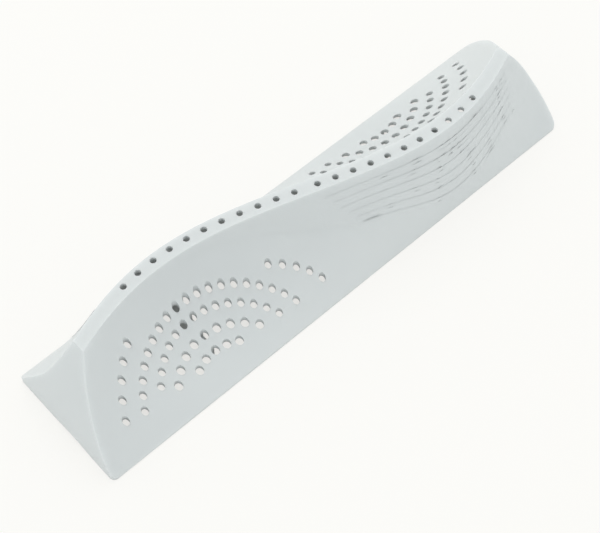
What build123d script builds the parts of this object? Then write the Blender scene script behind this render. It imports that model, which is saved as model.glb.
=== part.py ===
"""Drum paddle of a washing machine: one hollow moulding with an S-shaped ridge.

The paddle lies on its open base. X runs along the drum, Z stands away from the drum wall,
and a half turn about Z brings the paddle onto itself. Each half has one steep wall with
scrubbing ribs, and one long scooped flank with a fan of drain holes.
"""

from build123d import *
from collections import namedtuple
from math import asin, cos, degrees, pi, radians, sin, sqrt, tan
import os

os.makedirs("parts", exist_ok=True)

# Overall sizes
length = 280.0
width = 66.0
height = 47.5
wall = 2.2
rim_height = 1.2
end_radius = 72.5
corner_radius = 2.6

# The ridge swings from side to side like a wave, and its flat top narrows towards the ends
half_wave = 134.4
ridge_swing = 15.1
ridge_skew = 0.9
band_middle = 7.8
band_narrowing = 2.4
trim = 0.4

# Scrubbing ribs on the steep walls: lines that keep their distance from the ridge in plan
rib_count = 6
rib_first = 2.0
rib_pitch = 1.75
rib_width = 0.7
rib_proud = 0.35
rib_start = 5.0
rib_start_step = 2.5
rib_end = 116.0

# Drain holes: eight-sided, each inside the circle of its size
hole_sides = 8
fan_centre = (-69.7, -42.6)
ridge_hole = 3.0
ridge_hole_pitch = 8.75
ridge_hole_middle_gap = 10.6
ridge_hole_count = 11
ridge_hole_swing = 1.05

# Inside: cross ribs under the ridge, and bosses for screws that come in through the drum wall
cross_rib_stations = (-70.0, 0.0, 70.0)
cross_rib = 2.0
boss_station = 118.0
boss_diameter = 8.5
pilot_diameter = 3.3
pilot_depth = 18.0
seat = 0.3

# A shallow arch under each end, where a tool lifts the paddle off the drum wall
arch_chord = 24.0
arch_rise = 1.4
arch_offset = 5.6

# One cross section of the flank on the -Y side: how far its crease lies below the ridge,
# how far the wall above the crease leans, and how steep the flank is at its foot and at
# its crease, against the straight line between the two. A lean of None carries the
# straight line on up to the ridge, as on the steep half.
Flank = namedtuple("Flank", "x drop lean foot crest")
flanks = [
    Flank(-150, 1.0, 40, 1.90, 0.70),
    Flank(-112, 1.0, 25, 0.87, 1.60),
    Flank(-84, 2.0, 15, 0.75, 2.35),
    Flank(-54, 4.9, 15, 0.60, 2.40),
    Flank(-27, 11.8, 15, 0.85, 1.60),
    Flank(0, 20.0, 22, 1.05, 0.95),
] + [Flank(x, 23.0, None, 1.0, 1.0) for x in (27, 54, 84, 112, 150)]


def ridge_y(x):
    """Middle of the ridge in plan."""
    turn = pi * x / half_wave
    return -ridge_swing * sin(turn) + ridge_skew * sin(2 * turn)


def half_band(x):
    """Half the width of the flat top of the ridge."""
    return (band_middle - band_narrowing * (2 * x / length) ** 4) / 2


def moved_in(before, corner, after, inset):
    """The corner of an outline moved so that both of its sides move in by the inset."""
    first = (Vector(*corner) - Vector(*before)).normalized()
    second = (Vector(*after) - Vector(*corner)).normalized()
    n1 = Vector(first.Y, -first.X)
    n2 = Vector(second.Y, -second.X)
    shift = (n1 + n2) * (inset / (1 + n1.dot(n2)))
    return corner[0] + shift.X, corner[1] + shift.Y


def flank_points(row, ridge, inset):
    """Foot, two curve handles, crease and ridge edge of a flank on the -Y side."""
    foot = (-width / 2, rim_height)
    edge = (ridge - half_band(row.x), height)
    crease_z = height - row.drop
    if row.lean is None:
        share = (crease_z - rim_height) / (height - rim_height)
        crease = (foot[0] + share * (edge[0] - foot[0]), crease_z)
    else:
        crease = (edge[0] - row.drop * tan(radians(row.lean)), crease_z)
    third = (crease[0] - foot[0]) / 3
    rise = (crease[1] - foot[1]) / 3
    low = (foot[0] + third, foot[1] + rise * row.foot)
    high = (crease[0] - third, crease[1] - rise * row.crest)
    chain = [(foot[0], 0.0), foot, low, high, crease, edge, (edge[0] + 1, height)]
    return [moved_in(*chain[i - 1:i + 2], inset) for i in range(1, 6)]


def above(crease, edge):
    """A point on the wall's line a little above the ridge edge, to be trimmed off flat."""
    share = trim / (edge[1] - crease[1])
    return edge[0] + share * (edge[0] - crease[0]), edge[1] + trim


def paddle_form(inset):
    """The solid outer form of the paddle, with every face but the base moved in by the inset."""
    by_station = {row.x: row for row in flanks}
    with BuildPart() as form:
        for row in flanks:
            front = flank_points(row, ridge_y(row.x), inset)
            mate = by_station[-row.x]
            back = [(-y, z) for y, z in flank_points(mate, ridge_y(mate.x), inset)]
            front_top = above(front[3], front[4])
            back_top = above(back[3], back[4])
            side = front[0][0]
            with BuildSketch(Plane(origin=(row.x, 0, 0), x_dir=(0, 1, 0), z_dir=(1, 0, 0))):
                with BuildLine():
                    Line((side, -2 * wall), front[0])
                    Bezier(*front[:4])
                    Polyline(front[3], front_top, back_top, back[3])
                    Bezier(*reversed(back[:4]))
                    Polyline(back[0], (-side, -2 * wall), (side, -2 * wall))
                make_face()
        loft()
        radius = end_radius - inset
        centre = length / 2 - end_radius
        sweep_up = degrees(asin((height - inset) / radius))
        with BuildSketch(Plane.XZ):
            with BuildLine():
                right = CenterArc((centre, 0), radius, 0, sweep_up)
                left = CenterArc((-centre, 0), radius, 180 - sweep_up, sweep_up)
                Line(right @ 1, left @ 0)
                Polyline(left @ 1, left @ 1 - (0, 2 * wall), right @ 0 - (0, 2 * wall), right @ 0)
            make_face()
        extrude(amount=width, both=True, mode=Mode.INTERSECT)
        with BuildSketch(Plane.XY.offset(-inset)):
            RectangleRounded(length - 2 * inset, width - 2 * inset, corner_radius - inset)
        extrude(amount=height + wall, mode=Mode.INTERSECT)
    return form.part


def fan_row(count, first, step, half_x, half_y):
    """Hole centres of one row: an arc about the fan's centre, in degrees from the +Y side."""
    angles = [radians(first + step * i) for i in range(count)]
    return [(fan_centre[0] + half_x * sin(a), fan_centre[1] + half_y * cos(a)) for a in angles]


# Rows from the outside in, each with its hole size
fan = [
    (3.2, fan_row(5, -64.9, 7.5, 57.4, 51.5)),
    (3.2, fan_row(5, 38.7, 6.55, 65.3, 45.7)),
    (3.3, fan_row(19, -61.7, 6.99, 48.2, 44.7)),
    (3.3, fan_row(14, -50.2, 8.4, 39.3, 39.3)),
    (3.9, fan_row(9, -47.0, 11.75, 32.0, 32.0)),
    (3.9, fan_row(5, -27.5, 13.8, 24.8, 24.8)),
]

# The ridge holes step outwards from the middle, evenly along the wave
ridge_row = []
x = -ridge_hole_middle_gap / 2
for _ in range(ridge_hole_count):
    ridge_row.append((x, ridge_hole_swing * ridge_y(x)))
    slope = ridge_y(x - 0.5) - ridge_y(x + 0.5)
    x -= ridge_hole_pitch / sqrt(1 + slope ** 2)


def beside_ridge(x, offset):
    """A point in plan at a distance from the ridge edge, on the steep side of the -X half."""
    return x, ridge_y(x) + half_band(x) + offset


# Each rib is a strip in plan, raised until it stands just proud of the steep wall
with BuildPart() as ribs:
    for i in range(rib_count):
        start = rib_start + i * rib_start_step
        stations = [-start - (rib_end - start) * share / 6 for share in range(7)]
        offset = rib_first + i * rib_pitch
        with BuildSketch(Plane.XY):
            with BuildLine():
                upper = Spline(*[beside_ridge(x, offset) for x in stations])
                lower = Spline(*[beside_ridge(x, offset + rib_width) for x in stations])
                Line(upper @ 0, lower @ 0)
                Line(upper @ 1, lower @ 1)
            make_face()
        extrude(amount=height)
    add(paddle_form(-rib_proud), mode=Mode.INTERSECT)

# The half on the -X side
with BuildPart() as half:
    add(paddle_form(0))
    add(ribs.part)
    add(paddle_form(wall), mode=Mode.SUBTRACT)
    split(bisect_by=Plane.YZ, keep=Keep.BOTTOM)
    with BuildSketch(Plane.XY):
        for size, row in fan + [(ridge_hole, ridge_row)]:
            with Locations(row):
                RegularPolygon(size / 2, hole_sides)
    extrude(amount=height + wall, mode=Mode.SUBTRACT)
    arch_radius = arch_chord ** 2 / (8 * arch_rise) + arch_rise / 2
    with BuildSketch(Plane.YZ.offset(-length / 2 - wall)):
        with Locations((-arch_offset, arch_rise - arch_radius)):
            Circle(arch_radius)
    extrude(amount=3 * wall, mode=Mode.SUBTRACT)

# Cross ribs and screw bosses reach a little way into the shell, so they fuse with it
with BuildPart() as stiffening:
    for station in cross_rib_stations:
        with Locations((station, 0, height / 2)):
            Box(cross_rib, width, height)
    with BuildSketch(Plane.XY):
        with Locations((-boss_station, 0), (boss_station, 0)):
            Circle(boss_diameter / 2)
    extrude(amount=height)
    add(paddle_form(wall - seat), mode=Mode.INTERSECT)
    with BuildSketch(Plane.XY):
        with Locations((-boss_station, 0), (boss_station, 0)):
            Circle(pilot_diameter / 2)
    extrude(amount=pilot_depth, mode=Mode.SUBTRACT)

with BuildPart() as paddle:
    add([half.part, half.part.rotate(Axis.Z, 180), stiffening.part])

paddle.part.label = "paddle"
export_step(paddle.part, "parts/paddle.step")
print("valid", paddle.part.is_valid, "volume", round(paddle.part.volume), "solids", len(paddle.part.solids()))
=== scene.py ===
# %% [markdown]
# # A drum paddle, dressed for its portrait
#
# The object is the paddle that lifts the washing in a washing machine's drum. It is one
# plastic moulding: an S-shaped ridge, two scooped flanks, and fans of drain holes. Its form
# comes from the CAD model, which is loaded here as a fixed frame. This lesson gives it a
# camera, a pale stage, soft light, round drain holes, smooth shading and a moulded-plastic
# finish.

# %% Load the frame
import bmesh
import bpy
import numpy as np
from math import cos, pi, radians, sin, sqrt
from mathutils import Matrix, Vector
from mathutils.bvhtree import BVHTree
from mathutils.kdtree import KDTree


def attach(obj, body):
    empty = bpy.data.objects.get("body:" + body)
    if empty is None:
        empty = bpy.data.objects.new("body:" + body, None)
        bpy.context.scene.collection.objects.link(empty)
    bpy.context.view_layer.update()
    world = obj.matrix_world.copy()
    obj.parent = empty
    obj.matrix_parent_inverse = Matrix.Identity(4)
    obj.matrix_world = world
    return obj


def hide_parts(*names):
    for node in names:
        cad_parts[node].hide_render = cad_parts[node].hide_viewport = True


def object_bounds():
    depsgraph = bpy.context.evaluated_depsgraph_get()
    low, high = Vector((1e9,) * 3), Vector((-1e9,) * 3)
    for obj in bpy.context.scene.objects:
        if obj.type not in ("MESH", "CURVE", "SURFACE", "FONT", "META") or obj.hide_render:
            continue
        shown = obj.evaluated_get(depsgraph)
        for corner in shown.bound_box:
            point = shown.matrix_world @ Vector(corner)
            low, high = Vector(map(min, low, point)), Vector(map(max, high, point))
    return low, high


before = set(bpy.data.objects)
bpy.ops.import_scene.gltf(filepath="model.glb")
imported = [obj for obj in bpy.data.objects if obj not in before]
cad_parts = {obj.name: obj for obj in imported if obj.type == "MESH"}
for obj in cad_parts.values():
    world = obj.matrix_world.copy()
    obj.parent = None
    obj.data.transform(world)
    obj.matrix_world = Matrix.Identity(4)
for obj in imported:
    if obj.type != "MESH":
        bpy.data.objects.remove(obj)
cad_low, cad_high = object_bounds()
paddle_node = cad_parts["paddle"]
size = cad_high - cad_low
print("paddle", [round(1000 * side, 1) for side in size], "mm")

# %% [markdown]
# ## Helpers
#
# Blender's operators act on whatever is selected, and the loaded nodes start out selected.
# One helper clears the selection and picks a single object.


# %% Choosing one object
def choose(piece):
    """Leaves one object selected and active, in object mode."""
    bpy.ops.object.select_all(action="DESELECT")
    piece.select_set(True)
    bpy.context.view_layer.objects.active = piece


def metres(millimetres):
    """A length in millimetres, as the metres that the scene is drawn in."""
    return millimetres / 1000


# %% [markdown]
# ## The camera
#
# The photograph looks down on the paddle from above its near end, through a long lens. The
# camera's place was found by matching the paddle's corners and hole rows, and it is given
# here as a place and three turns. A lens of about 80 mm on a 36 mm sensor keeps the far end
# nearly as large as the near one.

# %% Camera
camera_data = bpy.data.cameras.new("camera")
camera_data.sensor_width = 36
camera_data.lens = 80.57
camera_data.clip_start = 0.01
camera_data.clip_end = 20
camera = bpy.data.objects.new("camera", camera_data)
bpy.context.scene.collection.objects.link(camera)
camera.location = (-0.2348, -0.2410, 0.5330)
camera.rotation_euler = (radians(31.35), radians(-0.83), radians(-42.61))
bpy.context.scene.camera = camera
bpy.context.scene.view_settings.view_transform = "Standard"
print("camera", round(camera.location.length, 3), "m from the paddle's middle")

# %% [markdown]
# ## The stage
#
# The paddle lies on a white sweep so bright that its shadow is almost lost. The floor is a
# plane that keeps the shadow, glows a little, and throws white light back up at the paddle
# and into its hollow side. Past its edge the camera sees the world, so the world shows the
# same white to the camera, while it lights the paddle at a plain level of its own.

# %% Floor
floor_reach = 6.0
sweep_white = (0.965, 0.955, 0.925, 1)
bpy.ops.object.select_all(action="DESELECT")
bpy.ops.mesh.primitive_plane_add(size=floor_reach, location=(0, 0, 0))
floor = bpy.context.active_object
floor.name = "floor"

floor_white = bpy.data.materials.new("white_sweep")
floor_white.use_nodes = True
floor_shader = floor_white.node_tree.nodes["Principled BSDF"]
floor_shader.inputs["Base Color"].default_value = (0.93, 0.925, 0.91, 1)
floor_shader.inputs["Roughness"].default_value = 0.9
floor_shader.inputs["Specular IOR Level"].default_value = 0.1
floor_nodes = floor_white.node_tree.nodes
floor_links = floor_white.node_tree.links
table_glow = floor_nodes.new("ShaderNodeEmission")
table_glow.inputs["Color"].default_value = sweep_white
seen_by_camera = floor_nodes.new("ShaderNodeLightPath")
glow_share = floor_nodes.new("ShaderNodeMapRange")
glow_share.inputs["To Min"].default_value = 0.16
glow_share.inputs["To Max"].default_value = 0.75
floor_mix = floor_nodes.new("ShaderNodeMixShader")
floor_links.new(seen_by_camera.outputs["Is Camera Ray"], glow_share.inputs["Value"])
floor_links.new(glow_share.outputs["Result"], floor_mix.inputs["Fac"])
floor_links.new(floor_shader.outputs[0], floor_mix.inputs[1])
floor_links.new(table_glow.outputs[0], floor_mix.inputs[2])
floor_links.new(floor_mix.outputs[0], floor_nodes["Material Output"].inputs["Surface"])
floor.data.materials.append(floor_white)
print("floor", floor_reach, "m across")

# %% World
world = bpy.data.worlds.new("studio")
bpy.context.scene.world = world
world.use_nodes = True
world_nodes = world.node_tree.nodes
world_links = world.node_tree.links
world_nodes.clear()
world_out = world_nodes.new("ShaderNodeOutputWorld")
fill_light = world_nodes.new("ShaderNodeBackground")
fill_light.inputs["Color"].default_value = (0.96, 0.99, 1.0, 1)
fill_light.inputs["Strength"].default_value = 0.96
seen_white = world_nodes.new("ShaderNodeBackground")
seen_white.inputs["Color"].default_value = sweep_white
seen_white.inputs["Strength"].default_value = 1.0
light_path = world_nodes.new("ShaderNodeLightPath")
camera_or_glossy = world_nodes.new("ShaderNodeMath")
camera_or_glossy.operation = "MAXIMUM"
camera_glossy_or_through = world_nodes.new("ShaderNodeMath")
camera_glossy_or_through.operation = "MAXIMUM"
choice = world_nodes.new("ShaderNodeMixShader")
world_links.new(light_path.outputs["Is Camera Ray"], camera_or_glossy.inputs[0])
world_links.new(light_path.outputs["Is Glossy Ray"], camera_or_glossy.inputs[1])
world_links.new(camera_or_glossy.outputs[0], camera_glossy_or_through.inputs[0])
world_links.new(light_path.outputs["Is Transmission Ray"], camera_glossy_or_through.inputs[1])
world_links.new(camera_glossy_or_through.outputs[0], choice.inputs["Fac"])
world_links.new(fill_light.outputs[0], choice.inputs[1])
world_links.new(seen_white.outputs[0], choice.inputs[2])
world_links.new(choice.outputs[0], world_out.inputs["Surface"])
print("world lights at", fill_light.inputs["Strength"].default_value)


# %% [markdown]
# ## The lamp
#
# The photograph has hardly a shadow: most of its light comes from all round and from the
# sweep below. One large soft lamp stands overhead and a little behind, so that the ridge's
# flat top and the far flank are the lightest faces.

# %% Lamp
def soft_lamp(name, place, watts, across, colour):
    """A square area lamp that points at the paddle's middle."""
    lamp_data = bpy.data.lights.new(name, "AREA")
    lamp_data.energy = watts
    lamp_data.size = across
    lamp_data.color = colour
    lamp = bpy.data.objects.new(name, lamp_data)
    bpy.context.scene.collection.objects.link(lamp)
    lamp.location = place
    lamp.rotation_euler = (-Vector(place)).to_track_quat("-Z", "Y").to_euler()
    return lamp


overhead = soft_lamp("overhead", (0.25, 0.75, 1.5), 6.2, 1.2, (1.0, 0.97, 0.92))
print("overhead lamp", overhead.data.energy, "watts")

# %% [markdown]
# ## The moulded plastic
#
# The paddle is polypropylene, a cool grey-white with a satin skin. Three things keep it from
# looking like paint: the colour drifts a little over the part, the skin has the fine, even
# grain of an eroded mould, and a little light passes under the surface.

# %% Plastic
plastic = bpy.data.materials.new("grey_white_moulding")
plastic.use_nodes = True
nodes = plastic.node_tree.nodes
links = plastic.node_tree.links
shader = nodes["Principled BSDF"]
shader.inputs["Specular IOR Level"].default_value = 0.4
shader.inputs["Subsurface Weight"].default_value = 0.4
shader.inputs["Subsurface Radius"].default_value = (0.006, 0.006, 0.006)
shader.inputs["Subsurface Scale"].default_value = 1.0

place = nodes.new("ShaderNodeTexCoord")

drift = nodes.new("ShaderNodeTexNoise")
drift.inputs["Scale"].default_value = 14.0
drift.inputs["Detail"].default_value = 2.0
tint = nodes.new("ShaderNodeValToRGB")
tint.color_ramp.elements[0].position = 0.3
tint.color_ramp.elements[0].color = (0.628, 0.654, 0.655, 1)
tint.color_ramp.elements[1].position = 0.7
tint.color_ramp.elements[1].color = (0.650, 0.676, 0.674, 1)
links.new(place.outputs["Object"], drift.inputs["Vector"])
links.new(drift.outputs["Fac"], tint.inputs["Fac"])
links.new(tint.outputs["Color"], shader.inputs["Base Color"])

sheen_drift = nodes.new("ShaderNodeTexNoise")
sheen_drift.inputs["Scale"].default_value = 60.0
sheen_drift.inputs["Detail"].default_value = 3.0
sheen = nodes.new("ShaderNodeMapRange")
sheen.inputs["To Min"].default_value = 0.42
sheen.inputs["To Max"].default_value = 0.52
links.new(place.outputs["Object"], sheen_drift.inputs["Vector"])
links.new(sheen_drift.outputs["Fac"], sheen.inputs["Value"])
links.new(sheen.outputs["Result"], shader.inputs["Roughness"])

grain = nodes.new("ShaderNodeTexNoise")
grain.inputs["Scale"].default_value = 2600.0
grain.inputs["Detail"].default_value = 2.0
relief = nodes.new("ShaderNodeBump")
relief.inputs["Strength"].default_value = 0.12
relief.inputs["Distance"].default_value = metres(0.03)
links.new(place.outputs["Object"], grain.inputs["Vector"])
links.new(grain.outputs["Fac"], relief.inputs["Height"])
links.new(relief.outputs["Normal"], shader.inputs["Normal"])
print("plastic", plastic.name)

# %% [markdown]
# ## The moulding
#
# The CAD node's mesh is loose triangles, so a copy of it is merged into one skin. That copy
# stands for the node, and the work on its surface is done there.

# %% Moulding
same_point_within = metres(0.002)
moulding = bpy.data.objects.new("moulding", paddle_node.data.copy())
bpy.context.scene.collection.objects.link(moulding)
choose(moulding)
bpy.ops.object.mode_set(mode="EDIT")
bpy.ops.mesh.select_all(action="SELECT")
bpy.ops.mesh.remove_doubles(threshold=same_point_within)
bpy.ops.object.mode_set(mode="OBJECT")
moulding.data.materials.clear()
moulding.data.materials.append(plastic)
print("moulding", len(moulding.data.polygons), "faces")

# %% [markdown]
# ## What each face is part of
#
# The mesh doesn't say which face belongs to which surface, and the next steps need to know.
# Two facts tell it: the ends are parts of one round cylinder, and hole walls, corners and
# rib sides stand upright. Everything else is open skin, which sharp edges cut into regions.


# %% Kinds of faces
outer_end_radius = metres(72.5)
inner_end_radius = metres(70.3)
end_axis = cad_high.x - outer_end_radius
on_end_within = metres(0.02)
faces_out_above = 0.97
upright_below = 0.02


def end_normal(point):
    """The way out of the round end at a point, from the cylinder's axis."""
    side = 1 if point.x > 0 else -1
    return Vector((point.x - side * end_axis, 0, point.z))


def face_kind(face):
    """Whether a face lies on a round end, stands upright, or is part of the open skin."""
    on_end = any(
        all(abs(end_normal(vertex.co).length - radius) < on_end_within for vertex in face.verts)
        for radius in (outer_end_radius, inner_end_radius)
    )
    out = end_normal(face.calc_center_median()).normalized()
    if on_end and abs(out.dot(face.normal)) > faces_out_above:
        return "end"
    return "upright" if abs(face.normal.z) < upright_below else "skin"


# %% Regions between the sharp edges
def skin_regions(mesh, sharp):
    """Kind and faces of each region whose faces meet at less than the sharp angle."""
    skin = bmesh.new()
    skin.from_mesh(mesh)
    kinds = [face_kind(face) for face in skin.faces]
    seen = set()
    regions = []
    for first in skin.faces:
        if first.index in seen:
            continue
        seen.add(first.index)
        region = []
        waiting = [first]
        while waiting:
            face = waiting.pop()
            region.append(face.index)
            for edge in face.edges:
                if len(edge.link_faces) != 2 or edge.calc_face_angle() > sharp:
                    continue
                for other in edge.link_faces:
                    if other.index not in seen and kinds[other.index] == kinds[first.index]:
                        seen.add(other.index)
                        waiting.append(other)
        regions.append((kinds[first.index], region))
    skin.free()
    return regions


# %% [markdown]
# ## Worn scrubbing ribs
#
# In the photograph the scrubbing ribs only just catch the light, so they are drawn lower here
# than in the CAD model, as if worn. Six ribs run beside the ridge on each steep wall, 1.75 mm
# apart, so the top faces are found by their distance from the ridge's edge in plan. They sink
# until less than a tenth of a millimetre is left of the 0.35 mm that the CAD model gives
# them. Straight down, that is a longer way where the wall is steep.


# %% The ridge in plan, in millimetres
half_length = 140
half_wave = 134.4
ridge_swing = 15.1
ridge_skew = 0.9
band_middle = 7.8
band_narrowing = 2.4


def ridge_y(x):
    """Middle of the S-shaped ridge."""
    turn = pi * x / half_wave
    return -ridge_swing * sin(turn) + ridge_skew * sin(2 * turn)


def half_band(x):
    """Half the width of the ridge's flat top."""
    return (band_middle - band_narrowing * (x / half_length) ** 4) / 2


# %% Sinking the ribs
rib_count = 6
rib_first_middle = 2.35
rib_pitch = 1.75
rib_reach = 0.25
rib_start = 5
rib_start_step = 2.5
rib_end = 116
looks_up_above = 0.05
rib_sink = metres(0.28)


def on_rib(face):
    """Whether a face is the top of a rib, on either steep wall."""
    middle = face.center * 1000
    turned = -1 if middle.x > 0 else 1
    x, y = turned * middle.x, turned * middle.y
    beyond = y - ridge_y(x) - half_band(x) - rib_first_middle
    number = round(beyond / rib_pitch)
    return (
        face.normal.z > looks_up_above
        and 0 <= number < rib_count
        and abs(beyond - rib_pitch * number) < rib_reach
        and -rib_end < x < -rib_start - rib_start_step * number
    )


def sink_ribs(piece, by):
    """Lowers the tops of the ribs, nearer to the wall that they stand on."""
    mesh = piece.data
    fall = {}
    for face in mesh.polygons:
        if on_rib(face):
            for vertex in face.vertices:
                fall[vertex] = by / face.normal.z
    for vertex, drop in fall.items():
        mesh.vertices[vertex].co.z -= drop
    mesh.update()
    return len(fall)


print("rib top corners", sink_ribs(moulding, rib_sink))

# %% [markdown]
# ## Round drain holes
#
# To keep its faces few, the CAD model cuts each drain hole with eight flat sides. Here a
# round drill of the hole's full size goes through each one again. The holes lie on six arcs
# about one centre and on one row along the ridge, in millimetres, and the second half of the
# paddle is the first half turned round.


# %% Rows of holes
fan_x = -69.7
fan_y = -42.6
ridge_hole = 3.0
ridge_hole_count = 11
ridge_hole_first = -5.3
ridge_hole_pitch = 8.75
ridge_hole_swing = 1.05


def arc_of_holes(size, count, first, step, half_x, half_y):
    """Size and middle of each hole on one arc of the fan, by angle from the +Y side."""
    turns = [radians(first + step * number) for number in range(count)]
    return [(size, fan_x + half_x * sin(turn), fan_y + half_y * cos(turn)) for turn in turns]


holes = arc_of_holes(3.2, 5, -64.9, 7.5, 57.4, 51.5)
holes += arc_of_holes(3.2, 5, 38.7, 6.55, 65.3, 45.7)
holes += arc_of_holes(3.3, 19, -61.7, 6.99, 48.2, 44.7)
holes += arc_of_holes(3.3, 14, -50.2, 8.4, 39.3, 39.3)
holes += arc_of_holes(3.9, 9, -47.0, 11.75, 32.0, 32.0)
holes += arc_of_holes(3.9, 5, -27.5, 13.8, 24.8, 24.8)
x = ridge_hole_first
for _ in range(ridge_hole_count):
    holes.append((ridge_hole, x, ridge_hole_swing * ridge_y(x)))
    slope = ridge_y(x - 0.5) - ridge_y(x + 0.5)
    x -= ridge_hole_pitch / sqrt(1 + slope ** 2)
holes += [(size, -x, -y) for size, x, y in holes]
print("drain holes", len(holes))


# %% How deep the wall is at a hole
soundings = 12
beside_hole = 0.4
above_part = 0.1
thickest_wall = metres(9)
down = Vector((0, 0, -1))
past_skin = Vector((0, 0, metres(0.05)))


def wall_span(skin, size, x, y):
    """Lowest and highest level of the wall round a hole, without the ribs under it."""
    levels = []
    for number in range(soundings):
        turn = 2 * pi * number / soundings
        reach = size / 2 + beside_hole
        beside_x = metres(x + reach * cos(turn))
        beside_y = metres(y + reach * sin(turn))
        start = Vector((beside_x, beside_y, above_part))
        outside = skin.ray_cast(start, down)[0]
        inside = skin.ray_cast(outside - past_skin, down)[0]
        levels.append(outside.z)
        if outside.z - inside.z < thickest_wall:
            levels.append(inside.z)
    return min(levels), max(levels)


# %% Drilling
drill_sides = 24
drill_play = 0.03
below_wall = metres(0.3)
above_wall = metres(1.0)
hard_edge = radians(28)


def drill(piece, holes, sides):
    """Cuts a round hole of its own size at each place, through the outer wall only."""
    skin = BVHTree.FromPolygons(
        [vertex.co for vertex in piece.data.vertices],
        [face.vertices for face in piece.data.polygons],
    )
    bits = bmesh.new()
    for size, x, y in holes:
        low, high = wall_span(skin, size, x, y)
        low -= below_wall
        high += above_wall
        middle = Matrix.Translation((metres(x), metres(y), (low + high) / 2))
        radius = metres(size / 2 + drill_play)
        bmesh.ops.create_cone(
            bits, cap_ends=True, segments=sides, radius1=radius, radius2=radius,
            depth=high - low, matrix=middle,
        )
    bits_mesh = bpy.data.meshes.new("drill_bits")
    bits.to_mesh(bits_mesh)
    bits.free()
    tool = bpy.data.objects.new("drill_bits", bits_mesh)
    bpy.context.scene.collection.objects.link(tool)
    cut = piece.modifiers.new("drain_holes", "BOOLEAN")
    cut.operation = "DIFFERENCE"
    cut.solver = "EXACT"
    cut.object = tool
    choose(piece)
    bpy.ops.object.modifier_apply(modifier=cut.name)
    bpy.data.objects.remove(tool)


drill(moulding, holes, drill_sides)
choose(moulding)
bpy.ops.object.shade_smooth_by_angle(angle=hard_edge)
print("drilled", len(moulding.data.polygons), "faces")

# %% [markdown]
# ## True shading on the curved skins
#
# Every corner of the mesh lies on the real curved skin, but the triangles between them are
# long and thin near the holes and across the ends, and averaging such triangles gives
# streaks. On the round ends the true normal is known. In every large region of the skin,
# each vertex gets the normal of a shallow bowl fitted through its neighbours. Small regions
# and upright faces keep their ordinary smooth shading.


# %% The normal of a bowl through nearby points
trusted_above = 0.94
flat_direction_below = 1e-6


def bowl_normal(points, centre, rough_normal):
    """Fits a paraboloid over the rough normal's plane, and gives its normal at the centre."""
    across = rough_normal.orthogonal().normalized()
    along = rough_normal.cross(across)
    offsets = points - np.array(centre)
    u = offsets @ np.array(across)
    v = offsets @ np.array(along)
    w = offsets @ np.array(rough_normal)
    terms = np.stack([u, v, u * u, u * v, v * v], 1)
    slopes = np.linalg.lstsq(terms, w, rcond=flat_direction_below)[0]
    fitted = (rough_normal - across * slopes[0] - along * slopes[1]).normalized()
    return fitted if fitted.dot(rough_normal) > trusted_above else rough_normal


# %% Normals of one region of skin
fewest_neighbours = 9


def fitted_normals(mesh, faces, reach):
    """The fitted normal at each vertex of a region."""
    rough = {}
    for face in faces:
        for vertex in face.vertices:
            rough[vertex] = rough.get(vertex, Vector((0, 0, 0))) + face.normal * face.area
    order = list(rough)
    places = np.array([mesh.vertices[vertex].co for vertex in order])
    tree = KDTree(len(order))
    for number, place in enumerate(places):
        tree.insert(place, number)
    tree.balance()
    smooth = {}
    for number, vertex in enumerate(order):
        near = [found[1] for found in tree.find_range(places[number], reach)]
        if len(near) < fewest_neighbours:
            near = [found[1] for found in tree.find_n(places[number], fewest_neighbours)]
        smooth[vertex] = bowl_normal(places[near], places[number], rough[vertex].normalized())
    return smooth


# %% Lending the normals to the mesh
region_edge = radians(24)
bowl_reach = metres(5)
large_region = metres(1) * metres(60)


def true_normals(piece, sharp, reach, smallest_region):
    """Gives the round ends and every large region of skin their true normals."""
    mesh = piece.data
    normals = [Vector((0, 0, 0))] * len(mesh.loops)
    fitted = 0
    for kind, region in skin_regions(mesh, sharp):
        faces = [mesh.polygons[index] for index in region]
        if kind == "upright" or sum(face.area for face in faces) < smallest_region:
            continue
        if kind == "skin":
            smooth = fitted_normals(mesh, faces, reach)
            fitted += len(smooth)
        for face in faces:
            for loop in face.loop_indices:
                vertex = mesh.loops[loop].vertex_index
                if kind == "skin":
                    normals[loop] = smooth[vertex]
                else:
                    out = end_normal(mesh.vertices[vertex].co).normalized()
                    normals[loop] = out if out.dot(face.normal) > 0 else -out
    mesh.normals_split_custom_set(normals)
    return fitted


fitted = true_normals(moulding, region_edge, bowl_reach, large_region)
print("normals fitted at", fitted, "vertices")

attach(moulding, "root")
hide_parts("paddle")
